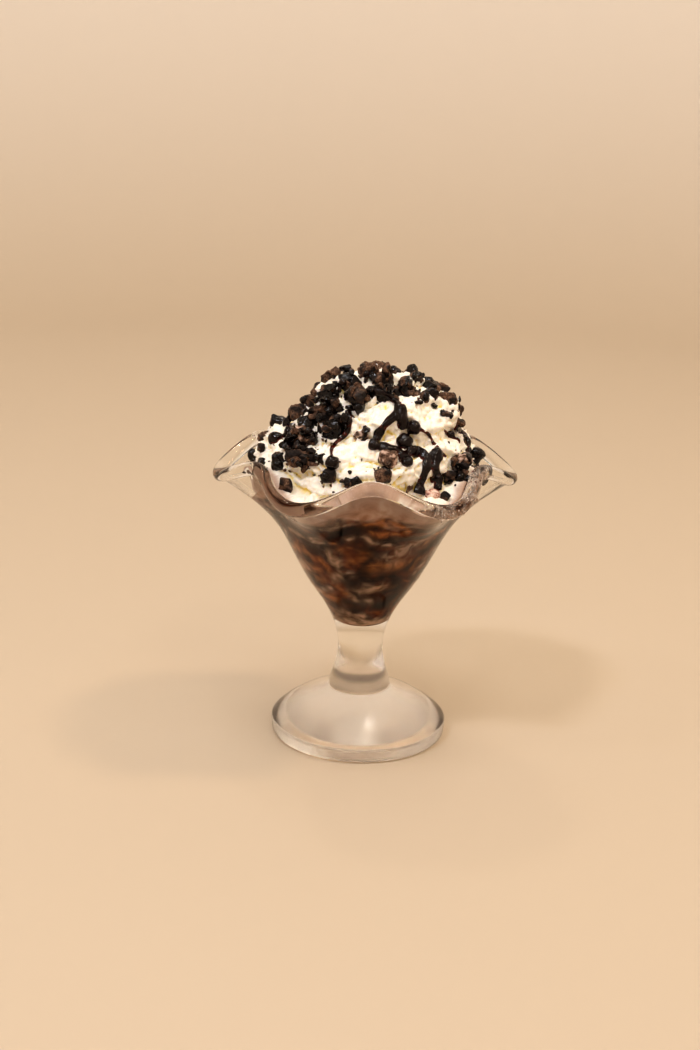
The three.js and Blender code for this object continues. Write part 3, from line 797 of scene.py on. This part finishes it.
# The broken cookie pieces: each stays where its solid is and gets the crags of a broken biscuit
cookies = {
    "voxel": 0.36,
    "crags": (2.6, 0.7),
    "nodules": (1.3, 0.45),
    "grain": (0.7, 0.16),
    "swell": 0.4,
    "smeared": (8, 23, 32, 35, 37, 34),  # the pieces with cream worked into them
}


# Dark cocoa biscuit: near-black skin, browner porous breaks, shiny where syrup has wetted it
def cocoaCookie(tree, place):
    wet, broken, smear = [addNode(tree, "ShaderNodeAttribute", {"attribute_name": name}).outputs["Fac"]
                          for name in ("wet", "broken", "smear")]
    grain = addNode(tree, "ShaderNodeTexNoise", {"Scale": 1 / (0.8 * mm), "Detail": 4, "Roughness": 0.7}, {
        "Vector": place,
    })
    skin = addNode(tree, "ShaderNodeValToRGB", {"stops": [(0.3, "0D0807"), (0.7, "261A15")]}, {"Fac": grain})
    crumb = addNode(tree, "ShaderNodeValToRGB", {"stops": [
        (0.3, "1C110B"), (0.46, "4A3427"), (0.6, "785C49"), (0.75, "B0947F"),
    ]}, {"Fac": grain})
    dry = addNode(tree, "ShaderNodeMix", {"data_type": "RGBA"}, {0: broken, 6: skin, 7: crumb})
    coated = addNode(tree, "ShaderNodeMix", {"data_type": "RGBA", 7: "0D0504"}, {0: wet, 6: dry})
    smeared = addNode(tree, "ShaderNodeMix", {"data_type": "RGBA", 7: "D2B5A4"}, {0: smear, 6: coated})
    # syrup shines and fills the grain
    gloss = addNode(tree, "ShaderNodeMapRange", {"To Min": 0.75, "To Max": 0.13}, {"Value": wet})
    depth = addNode(tree, "ShaderNodeMapRange", {"To Min": 0.6, "To Max": 0.12}, {"Value": wet})
    bump = addNode(tree, "ShaderNodeBump", {"Distance": 0.4 * mm}, {"Height": grain, "Strength": depth})
    return addNode(tree, "ShaderNodeBsdfPrincipled", {"IOR": 1.45, "Specular IOR Level": 0.35}, {
        "Base Color": smeared, "Roughness": gloss, "Normal": bump,
    })


def nodeShape(name):  # a copy of a solid's mesh, its loose triangles merged
    points, faces = meshArrays(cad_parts[name].data)
    keys, index = np.unique(np.round(points, 3), axis=0, return_inverse=True)
    index = index.reshape(-1)
    merged = [tuple(index[list(face)]) for face in faces]
    return keys, [face for face in merged if len(set(face)) == len(face)]


cookieMaterial = newMaterial("bakedCocoaCookie", cocoaCookie)


def biscuitRelief(points, seed):  # broken ledges, nodules of crumb and a sandy grain
    crags, nodules, grain = cookies["crags"], cookies["nodules"], cookies["grain"]  # [size, depth]
    cragged = noiseAt(points, crags[0], seed) + np.abs(noiseAt(points, crags[0] * 1.6, seed + 50))
    nodular = 0.35 - np.abs(noiseAt(points, nodules[0], seed + 70))
    grained = noiseAt(points, grain[0], seed + 90, 2)
    return crags[1] * (cragged - 0.25) + nodules[1] * nodular + grain[1] * grained


def wetAndBroken(points, seed, choice):  # where syrup has wetted a piece, and where its inside shows
    wet = smoothStep(noiseAt(points, 4, seed + 20) + 1.3 * (choice.random() - 0.42), -0.05, 0.2)
    broken = smoothStep(noiseAt(points, 3.5, seed + 30) + 0.7 * (choice.random() - 0.35), -0.2, 0.25)
    return wet, broken


def biscuit(name, points, faces, attributes, *nodes):  # wet faces smooth, dry ones faceted like crumb
    piece = meshObject(name, points, faces, cookieMaterial)
    piece.data.polygons.foreach_set("use_smooth", [bool(attributes["wet"][face[0]] > 0.5) for face in faces])
    setAttributes(piece, attributes)
    finishPiece(piece, "cookie", *nodes)
    return points, faces


def makeCookie(node, number):
    points, faces = remeshed([nodeShape(node)], cookies["voxel"])
    normals = pointNormals(points, faces)
    points = points + normals * (cookies["swell"] + biscuitRelief(points, number))[:, None]
    wet, broken = wetAndBroken(points, number, random.Random(number))
    smeared = number in cookies["smeared"]
    smear = smoothStep(noiseAt(points, 1.7, number + 40, 2), 0.02, 0.3) * 0.8 * smeared
    attributes = {"wet": wet * (not smeared), "broken": broken, "smear": smear}
    return biscuit(f"cookiePiece{number:02d}", points, faces, attributes, node)


cookieNodes = sorted(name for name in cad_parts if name.startswith("cookie_piece"))
cookieSkins = [makeCookie(name, i + 1) for i, name in enumerate(cookieNodes)]
report("cookie pieces")


# The lump of melting ice cream at the front right
melting = {
    "voxel": 0.35,
    "ripples": (2.6, 0.5),  # size and depth
}


# Vanilla with cocoa crumbs melting into it: pinkish, wet, with red-brown specks
def meltingIceCream(tree, place):
    specks = addNode(tree, "ShaderNodeTexNoise", {"Scale": 1 / (1.3 * mm), "Detail": 3}, {"Vector": place})
    ramp = addNode(tree, "ShaderNodeValToRGB", {"stops": [
        (0.34, "6E3A2C"), (0.45, "C09585"), (0.6, "E4CABB"),
    ]}, {"Fac": specks})
    return addNode(tree, "ShaderNodeBsdfPrincipled", {
        "Roughness": 0.3, "IOR": 1.36, "Subsurface Weight": 0.3, "Subsurface Radius": (1.0, 0.6, 0.4),
        "Subsurface Scale": 1.5 * mm,
    }, {"Base Color": ramp})


def makeLump():
    points, faces = remeshed([nodeShape("ice_cream_lump")], melting["voxel"])
    size, depth = melting["ripples"]
    points = points + pointNormals(points, faces) * (depth * noiseAt(points, size, 4, 3))[:, None]
    piece = meshObject("iceCreamLump", points, faces, newMaterial("meltingIceCream", meltingIceCream))
    finishPiece(piece, "lump", "ice_cream_lump")
    return points, faces


lumpSkin = makeLump()
creamTree = skinTree([creamSkin])
cookieTree = skinTree(cookieSkins)
foodTree = skinTree([creamSkin, lumpSkin] + cookieSkins)


def seatOn(start, towards):  # the food's place and normal where a line meets it
    place, normal, _, _ = foodTree.ray_cast(start, towards)
    return (np.array(place), np.array(normal)) if place else None


def seenAt(across, up):
    return seatOn(eye, sightLine(across, up))


def metFrom(angle, height):  # on a level line from outside
    outward = outwardAt(angle)
    return seatOn(Vector((cream["upperTurn"]["centre"] / 2, 0, height)) + outward * 120, -outward)


# Smaller cookie fragments between the pieces, thickest at the summit and on the left
fragments = {
    "seen": [  # [across, up, size]
        (-21.2, 150.3, 4.0), (-20.7, 144.5, 3.6), (-4.6, 150.8, 5.2), (-4.8, 142.9, 5.6), (7.3, 159.5, 2.8),
        (32.1, 140.2, 3.2), (37.5, 137.4, 3.6), (11.4, 148.4, 4.6), (-19.3, 137.5, 5.2), (-11.5, 136.4, 4.8),
        (-33, 124, 4.0), (-34, 107.2, 4.4), (-0.4, 132.5, 3.4), (-6.7, 110.6, 2.8), (-3.4, 109.9, 3.4),
        (34.1, 104.5, 4.8), (18.2, 108.4, 3.0), (-5.7, 145.8, 5.4),
    ],
    "clusters": [  # [across, up, reach, how many, largest]
        (-11.4, 149, 9, 20, 5.0), (-15.5, 144, 5, 8, 4.6), (-5, 147, 6, 9, 4.6), (12, 149, 4, 5, 3.8),
        (20, 148.5, 6, 7, 3.8), (28, 147, 5, 6, 4.2), (-25.8, 133.3, 9, 15, 4.8), (-13.3, 133.3, 6, 7, 4.6),
        (-27.7, 122, 9, 12, 4.4), (36.9, 115, 6, 10, 4.4), (-6.7, 111.5, 4, 7, 2.4), (-43, 118, 4, 5, 3.6),
        (2, 156, 7, 9, 4.0), (-25, 119.5, 5, 10, 3.4),
    ],
    "smallest": 2.0,
    "behind": 58,
    "behindHeights": (112, 158),
    "largestBehind": 4.8,
    "cuts": 8,
    "cutFrom": (0.32, 0.75),  # shares of the radius
    "stretch": (0.6, 1.4),
    "fineFrom": 3.2,  # larger ones get more faces
    "radius": 0.72,  # share of the size
    "lift": 0.18,  # share of the size
    "craggy": 0.6,  # share of a cookie's relief
}


def brokenShape(place, normal, size, seed):  # a ball cut by chance planes and roughened
    choice = np.random.default_rng(seed)
    points, faces = ballMesh(4 if size > fragments["fineFrom"] else 3)
    for _ in range(fragments["cuts"]):
        cut = unit(choice.normal(size=3))
        over = np.maximum(points @ cut - choice.uniform(*fragments["cutFrom"]), 0)
        points = points - np.outer(over, cut)
    points = points * choice.uniform(*fragments["stretch"], 3) * size * fragments["radius"]
    points = points + place + normal * size * fragments["lift"]
    relief = fragments["craggy"] * biscuitRelief(points, seed)[:, None]
    return points + pointNormals(points, faces) * relief, faces


def makeFragments():
    choice = random.Random(5)
    seats = [(seenAt(across, up), size) for across, up, size in fragments["seen"]]
    for across, up, reach, count, largest in fragments["clusters"]:
        for _ in range(count):
            turn, far = choice.uniform(0, 2 * math.pi), reach * choice.random() ** 0.6
            seat = seenAt(across + far * math.cos(turn), up + far * math.sin(turn))
            seats.append((seat, choice.uniform(fragments["smallest"], largest)))
    low, high = fragments["behindHeights"]
    for _ in range(fragments["behind"]):
        angle, height = choice.uniform(-20, 200), low + (high - low) * choice.random() ** 0.7
        size = choice.uniform(fragments["smallest"], fragments["largestBehind"])
        seats.append((metFrom(angle, height), size))
    chunks, looks = [], []
    for seed, (seat, size) in enumerate(seats):
        if seat:
            chunks.append(brokenShape(*seat, size, seed + 200))
            looks.append(wetAndBroken(chunks[-1][0], seed, choice))
    wet, broken = [np.concatenate(values) for values in zip(*looks)]
    return biscuit("cookieFragments", *joined(chunks), {"wet": wet, "broken": broken})


fragmentSkin = makeFragments()
foodTree = skinTree([creamSkin, lumpSkin, fragmentSkin] + cookieSkins)
report("cookie fragments")


# The crumbs that have fallen on the cream, scattered by Geometry Nodes
crumbs = {
    "smallest": 0.25,  # half sizes
    "largest": 0.85,
    "density": 0.14,  # for each square millimetre beside a cookie
    "roughness": 1.5,
    "seed": 3,
}


# Grains strewn over a surface, thickest where its thickness attribute is high
def scatterTree(name, material):
    tree = bpy.data.node_groups.new(name, "GeometryNodeTree")
    named = {"Surface": "Geometry", "Smallest": "Float", "Largest": "Float", "Density": "Float",
             "Roughness": "Float", "Seed": "Int"}
    sockets = {}
    for label, kind in named.items():
        socket = tree.interface.new_socket(label, in_out="INPUT", socket_type="NodeSocket" + kind)
        sockets[label] = socket.identifier
    tree.interface.new_socket("Grains", in_out="OUTPUT", socket_type="NodeSocketGeometry")
    given = addNode(tree, "NodeGroupInput").outputs
    share = addNode(tree, "GeometryNodeInputNamedAttribute", {"data_type": "FLOAT", "Name": "thickness"})
    density = addNode(tree, "ShaderNodeMath", {"operation": "MULTIPLY"}, {0: given["Density"], 1: share})
    places = addNode(tree, "GeometryNodeDistributePointsOnFaces", {}, {
        "Mesh": given["Surface"], "Density": density, "Seed": given["Seed"],
    })
    chance = addNode(tree, "FunctionNodeRandomValue", {"data_type": "FLOAT"}, {"Seed": given["Seed"]})
    marked = addNode(tree, "GeometryNodeStoreNamedAttribute", {
        "data_type": "FLOAT", "domain": "POINT", "Name": "broken",
    }, {"Geometry": places, "Value": chance})
    grain = addNode(tree, "GeometryNodeMeshIcoSphere", {"Radius": 1.0, "Subdivisions": 1})
    wander = addNode(tree, "ShaderNodeTexNoise", {"Scale": 1.1, "Detail": 1.0})
    moved = addNode(tree, "ShaderNodeVectorMath", {"operation": "SCALE"}, {
        0: wander.outputs["Color"], "Scale": given["Roughness"],
    })
    rough = addNode(tree, "GeometryNodeSetPosition", {}, {"Geometry": grain, "Offset": moved})
    turn = addNode(tree, "FunctionNodeRandomValue", {"data_type": "FLOAT_VECTOR", 1: (6.28, 6.28, 6.28)})
    least, most = [addNode(tree, "ShaderNodeCombineXYZ", {}, {axis: given[label] for axis in "XYZ"})
                   for label in ("Smallest", "Largest")]
    size = addNode(tree, "FunctionNodeRandomValue", {"data_type": "FLOAT_VECTOR"}, {0: least, 1: most})
    placed = addNode(tree, "GeometryNodeInstanceOnPoints", {}, {
        "Points": marked, "Instance": rough, "Rotation": turn, "Scale": size,
    })
    real = addNode(tree, "GeometryNodeRealizeInstances", {}, {"Geometry": placed})
    dressed = addNode(tree, "GeometryNodeSetMaterial", {"Material": material}, {"Geometry": real})
    addNode(tree, "NodeGroupOutput", {}, {"Grains": dressed})
    return tree, sockets


# The grains that the tree strews on a skin, as a plain mesh
def strewn(name, skin, thickness, sizes, material):
    piece = meshObject(name, *skin, material)
    setAttributes(piece, {"thickness": thickness})
    modifier = piece.modifiers.new(name, "NODES")
    modifier.node_group, sockets = scatterTree(name + "Tree", material)
    scales = {"smallest": mm, "largest": mm, "density": mm ** -2, "roughness": 1, "seed": 1}
    for label, scale in scales.items():
        modifier[sockets[label.capitalize()]] = sizes[label] * scale
    grown = modifiedMesh(piece)
    piece.modifiers.clear()
    piece.data = grown
    return piece


def makeCrumbs():
    points = creamSkin[0]
    away = np.array([cookieTree.find_nearest(Vector(p))[3] for p in points])
    limit, clear = wallRadius(points)
    free = clear | (np.hypot(points[:, 0], points[:, 1]) < limit - 0.8)
    shown = free * (1 - smoothStep(underLip(points), 0, 3))
    patchy = smoothStep(noiseAt(points, 7, 31), -0.3, 0.35)
    weight = shown * (0.12 * patchy + smoothStep(-away, -5.5, -0.5) * (0.25 + 0.75 * patchy))
    piece = strewn("cocoaCrumbs", creamSkin, weight, crumbs, cookieMaterial)
    piece.data.polygons.foreach_set("use_smooth", [False] * len(piece.data.polygons))
    finishPiece(piece, "cookie")


makeCrumbs()
report("crumbs")


# The drops of melted cream and cocoa that stand on the dried film
drops = {
    "smallest": 0.12,  # half sizes
    "largest": 0.42,
    "density": 0.8,
    "roughness": 0.25,
    "seed": 9,
}


# Drops of thin melted cream: clear to milky and wet, one in six brown with cocoa
def frothyResidue(tree, _):
    chance = addNode(tree, "ShaderNodeAttribute", {"attribute_name": "broken"}).outputs["Fac"]
    colour = addNode(tree, "ShaderNodeValToRGB", {"stops": [
        (0.0, "F4ECE4"), (0.8, "E9D5C8"), (0.86, "7A3B2A"),
    ]}, {"Fac": chance})
    return addNode(tree, "ShaderNodeBsdfPrincipled", {
        "Roughness": 0.12, "IOR": 1.34, "Transmission Weight": 0.55,
    }, {"Base Color": colour})


residue = newMaterial("frothyCreamResidue", frothyResidue)
finishPiece(strewn("creamDrops", glassSkin, glassFilm, drops, residue), "cream")
report("drops on the lip")


# The chocolate syrup. [across, up] is where the sight line to a place on the front crosses y = 0
syrup = {
    "strands": [  # width at the start and the end, path
        (4.2, 5.0, [(11, 145), (14, 141), (14, 137), (15, 133.5)]),
        (4.2, 3.4, [(12, 139), (8, 136), (5, 132), (3.5, 127)]),
        (4.6, 5.0, [(3.5, 126), (8, 125), (13, 124), (17, 119)]),
        (4.6, 4.6, [(16, 122), (20, 124.5), (24, 122.5), (25, 118), (23, 112), (22, 106)]),
        (5.8, 4.4, [(29, 125), (28, 119), (29, 114), (30, 108)]),
        (2.0, 1.4, [(20, 134), (25, 132), (28, 127), (33, 122)]),
        (1.2, 4.0, [(31.6, 133.4), (34.4, 131), (37.5, 129)]),
        (3.2, 3.0, [(36, 135), (40, 132), (42, 127), (42, 121)]),
        (2.8, 2.0, [(-8, 140), (-7, 135), (-9, 130), (-14, 125), (-14, 121)]),
        (2.4, 2.4, [(-32, 133), (-33, 130), (-37, 127)]),
        (3.0, 2.2, [(3, 149), (8, 147.5), (12, 144)]),
    ],
    "beads": [
        (-37, 127.5, 6), (-14, 118, 6), (3, 126, 5), (20, 134, 6.4), (17, 119, 5), (34, 132, 3.6),
        (28.5, 123, 5.4), (15.2, 128, 6.6), (-10, 152, 3.6), (-1, 156, 3.2), (-24, 131, 3.4),
    ],
    "behind": [  # [angle round the middle, height]
        (2.6, 2.6, [(35, 144), (55, 141), (75, 138), (88, 130), (84, 120)]),
        (2.4, 2.4, [(165, 140), (145, 136), (125, 131), (128, 122), (118, 115)]),
    ],
    "voxel": 0.3,
    "flatness": 0.55,
    "uneven": 0.45,
    "lift": 0.25,  # share of the half width
    "step": 0.9,
    "beadFlat": 0.12,  # shares of its size
    "beadUneven": 0.22,
    "beadLift": 0.16,
}


def chocolateSyrup(tree, _):  # cocoa syrup: glossy and nearly black, red-brown where it is thin
    thin = addNode(tree, "ShaderNodeAttribute", {"attribute_name": "thin"}).outputs["Fac"]
    colour = addNode(tree, "ShaderNodeMix", {"data_type": "RGBA", 6: "120504", 7: "52190C"}, {0: thin})
    return addNode(tree, "ShaderNodeBsdfPrincipled", {
        "Roughness": 0.08, "IOR": 1.48, "Specular IOR Level": 0.3,
    }, {"Base Color": colour})


def laidPath(places):  # a path with even steps that hugs the food, also where its places lie far apart
    for _ in range(4):
        far = np.concatenate([[0], np.cumsum(np.linalg.norm(np.diff(places, axis=0), axis=1))])
        even = np.linspace(0, far[-1], max(int(far[-1] / syrup["step"]), 6))
        places = np.stack([np.interp(even, far, places[:, k]) for k in range(3)], axis=1)
        nearest = [foodTree.find_nearest(Vector(place)) for place in eased(places)]
        places = np.array([tuple(near[0]) for near in nearest])
    normals = np.array([tuple(near[1]) for near in nearest])
    for _ in range(3):
        places, normals = eased(places), eased(normals)
    return places, normals


def syrupStrand(seats, firstWidth, lastWidth, number, around=12):
    places, normals = laidPath(np.array([place for place, _ in seats]))
    along = unit(np.gradient(places, axis=0))
    side = unit(np.cross(along, normals))
    out = np.cross(side, along)
    half = np.linspace(firstWidth, lastWidth, len(places)) / 2
    half *= 1 + syrup["uneven"] * noiseAt(places, 3.5, number)
    angle = ringAngles(around)
    rings = []
    for place, across, lift, reach in zip(places, side, out, half):
        centre = place + lift * reach * syrup["lift"]
        rings.append(centre + reach * (np.cos(angle)[:, None] * across
                                       + np.sin(angle)[:, None] * lift * syrup["flatness"]))
    return np.concatenate(rings + [[places[0]], [places[-1]]]), gridFaces(len(rings), around)


def syrupBead(seat, size):
    place, normal = seat
    ball, faces = ballMesh(3)
    ball = ball - syrup["beadFlat"] * np.outer(ball @ normal, normal)
    ball *= 1 + syrup["beadUneven"] * noiseAt(ball * size / 2 + place, 2.5, 2)[:, None]
    return ball * size / 2 + place + normal * syrup["beadLift"] * size, faces


def makeSyrup():
    parts = []
    for method, strands in ((seenAt, syrup["strands"]), (metFrom, syrup["behind"])):
        for firstWidth, lastWidth, path in strands:
            seats = [seat for seat in (method(*point) for point in splineThrough(path, 7)) if seat]
            parts.append(syrupStrand(seats, firstWidth, lastWidth, len(parts)))
    parts += [syrupBead(seenAt(across, up), size) for across, up, size in syrup["beads"]]
    points, faces = remeshed(parts, syrup["voxel"])
    points = neighbourMean(points, faces, 4)
    piece = meshObject("chocolateSyrup", points, faces, newMaterial("chocolateSyrup", chocolateSyrup))
    depth = np.array([creamTree.find_nearest(Vector(p))[3] for p in points])
    setAttributes(piece, {"thin": 1 - smoothStep(depth, 0.1, 0.9)})
    finishPiece(piece, "cream", "whipped_cream")


makeSyrup()
report("syrup")


# A plain pale studio: floor and backdrop in one sweep, soft lights
studio = {
    "floorColour": "C4B49F",
    "wallColour": "F0EAE3",
    "lights": {  # place in metres, size across, power, colour
        "warmKey": ((0.62, -0.02, 1.12), 0.14, 2.6, "FFE3C2"),
        "coolFill": ((-0.50, -0.60, 1.16), 0.12, 4.4, "F0F3FF"),
        "frontLamp": ((0.45, -1.0, 1.3), 0.2, 1.5, "FFF4E4"),
        "backLamp": ((-0.35, 0.8, 1.5), 0.12, 1.5, "FFF4E4"),
        "topLight": ((0.0, -0.35, 1.9), 0.6, 4.2, "FFFFFF"),
    },
    "glints": [  # small lamps that sparkle in what is wet
        (-0.3, -0.25, 1.6), (0.2, -0.6, 1.6), (-0.15, -0.9, 1.3), (0.6, -0.5, 1.2), (-0.7, -0.3, 0.9),
        (0.1, 0.3, 1.7),
    ],
    "glintLamp": (0.03, 0.45, "FFFFFF"),
    "reach": 1350,  # from the middle to the wall
    "bend": 420,  # radius of the sweep between floor and wall
    "wall": 1900,
    "airColour": "F5E6D2",
    "air": 0.66,
}


def plaster(tree, place):  # smooth pale plaster: matte and even, a little paler up the wall
    height = addNode(tree, "ShaderNodeSeparateXYZ", {}, {"Vector": place}).outputs["Z"]
    up = addNode(tree, "ShaderNodeMapRange", {"From Min": 0.0, "From Max": 0.45}, {"Value": height})
    colour = addNode(tree, "ShaderNodeMix", {
        "data_type": "RGBA", 6: studio["floorColour"], 7: studio["wallColour"],
    }, {0: up})
    return addNode(tree, "ShaderNodeBsdfPrincipled", {"Roughness": 0.7}, {"Base Color": colour})


def makeStudio():
    bend, reach, around = studio["bend"], studio["reach"], 72
    profile = [(300, 0), (600, 0), (reach - bend, 0)]
    for a in np.linspace(0.12, 1.57, 16):
        profile.append((reach - bend + bend * math.sin(a), bend - bend * math.cos(a)))
    profile.append((reach, studio["wall"]))
    points = [(r * math.cos(a), r * math.sin(a), z) for r, z in profile for a in ringAngles(around)]
    points.append((0, 0, 0))
    faces = [face[::-1] for face in gridFaces(len(profile), around)[:-around]]  # open at the top
    meshObject("studioSweep", points, faces, newMaterial("palePlaster", plaster))
    glints = {f"glint{i + 1}": (place, *studio["glintLamp"]) for i, place in enumerate(studio["glints"])}
    for name, (place, size, power, colour) in (studio["lights"] | glints).items():
        light = bpy.data.lights.new(name, "AREA")
        light.energy = power
        light.shape = "DISK"
        light.size = size
        light.color = hexColour(colour)[:3]
        lamp = bpy.data.objects.new(name, light)
        lamp.location = place
        lamp.rotation_euler = (Vector(lamp.location) - Vector((0, 0, 0.1))).to_track_quat("Z", "Y").to_euler()
        bpy.context.scene.collection.objects.link(lamp)
    world = bpy.data.worlds.new("studioAir")
    world.use_nodes = True
    background = world.node_tree.nodes["Background"]
    background.inputs["Color"].default_value = hexColour(studio["airColour"])
    background.inputs["Strength"].default_value = studio["air"]
    bpy.context.scene.world = world
    bpy.context.scene.view_settings.view_transform = "Standard"
    bpy.context.scene.view_settings.look = "Medium High Contrast"


makeStudio()
report("studio")

bpy.context.view_layer.update()
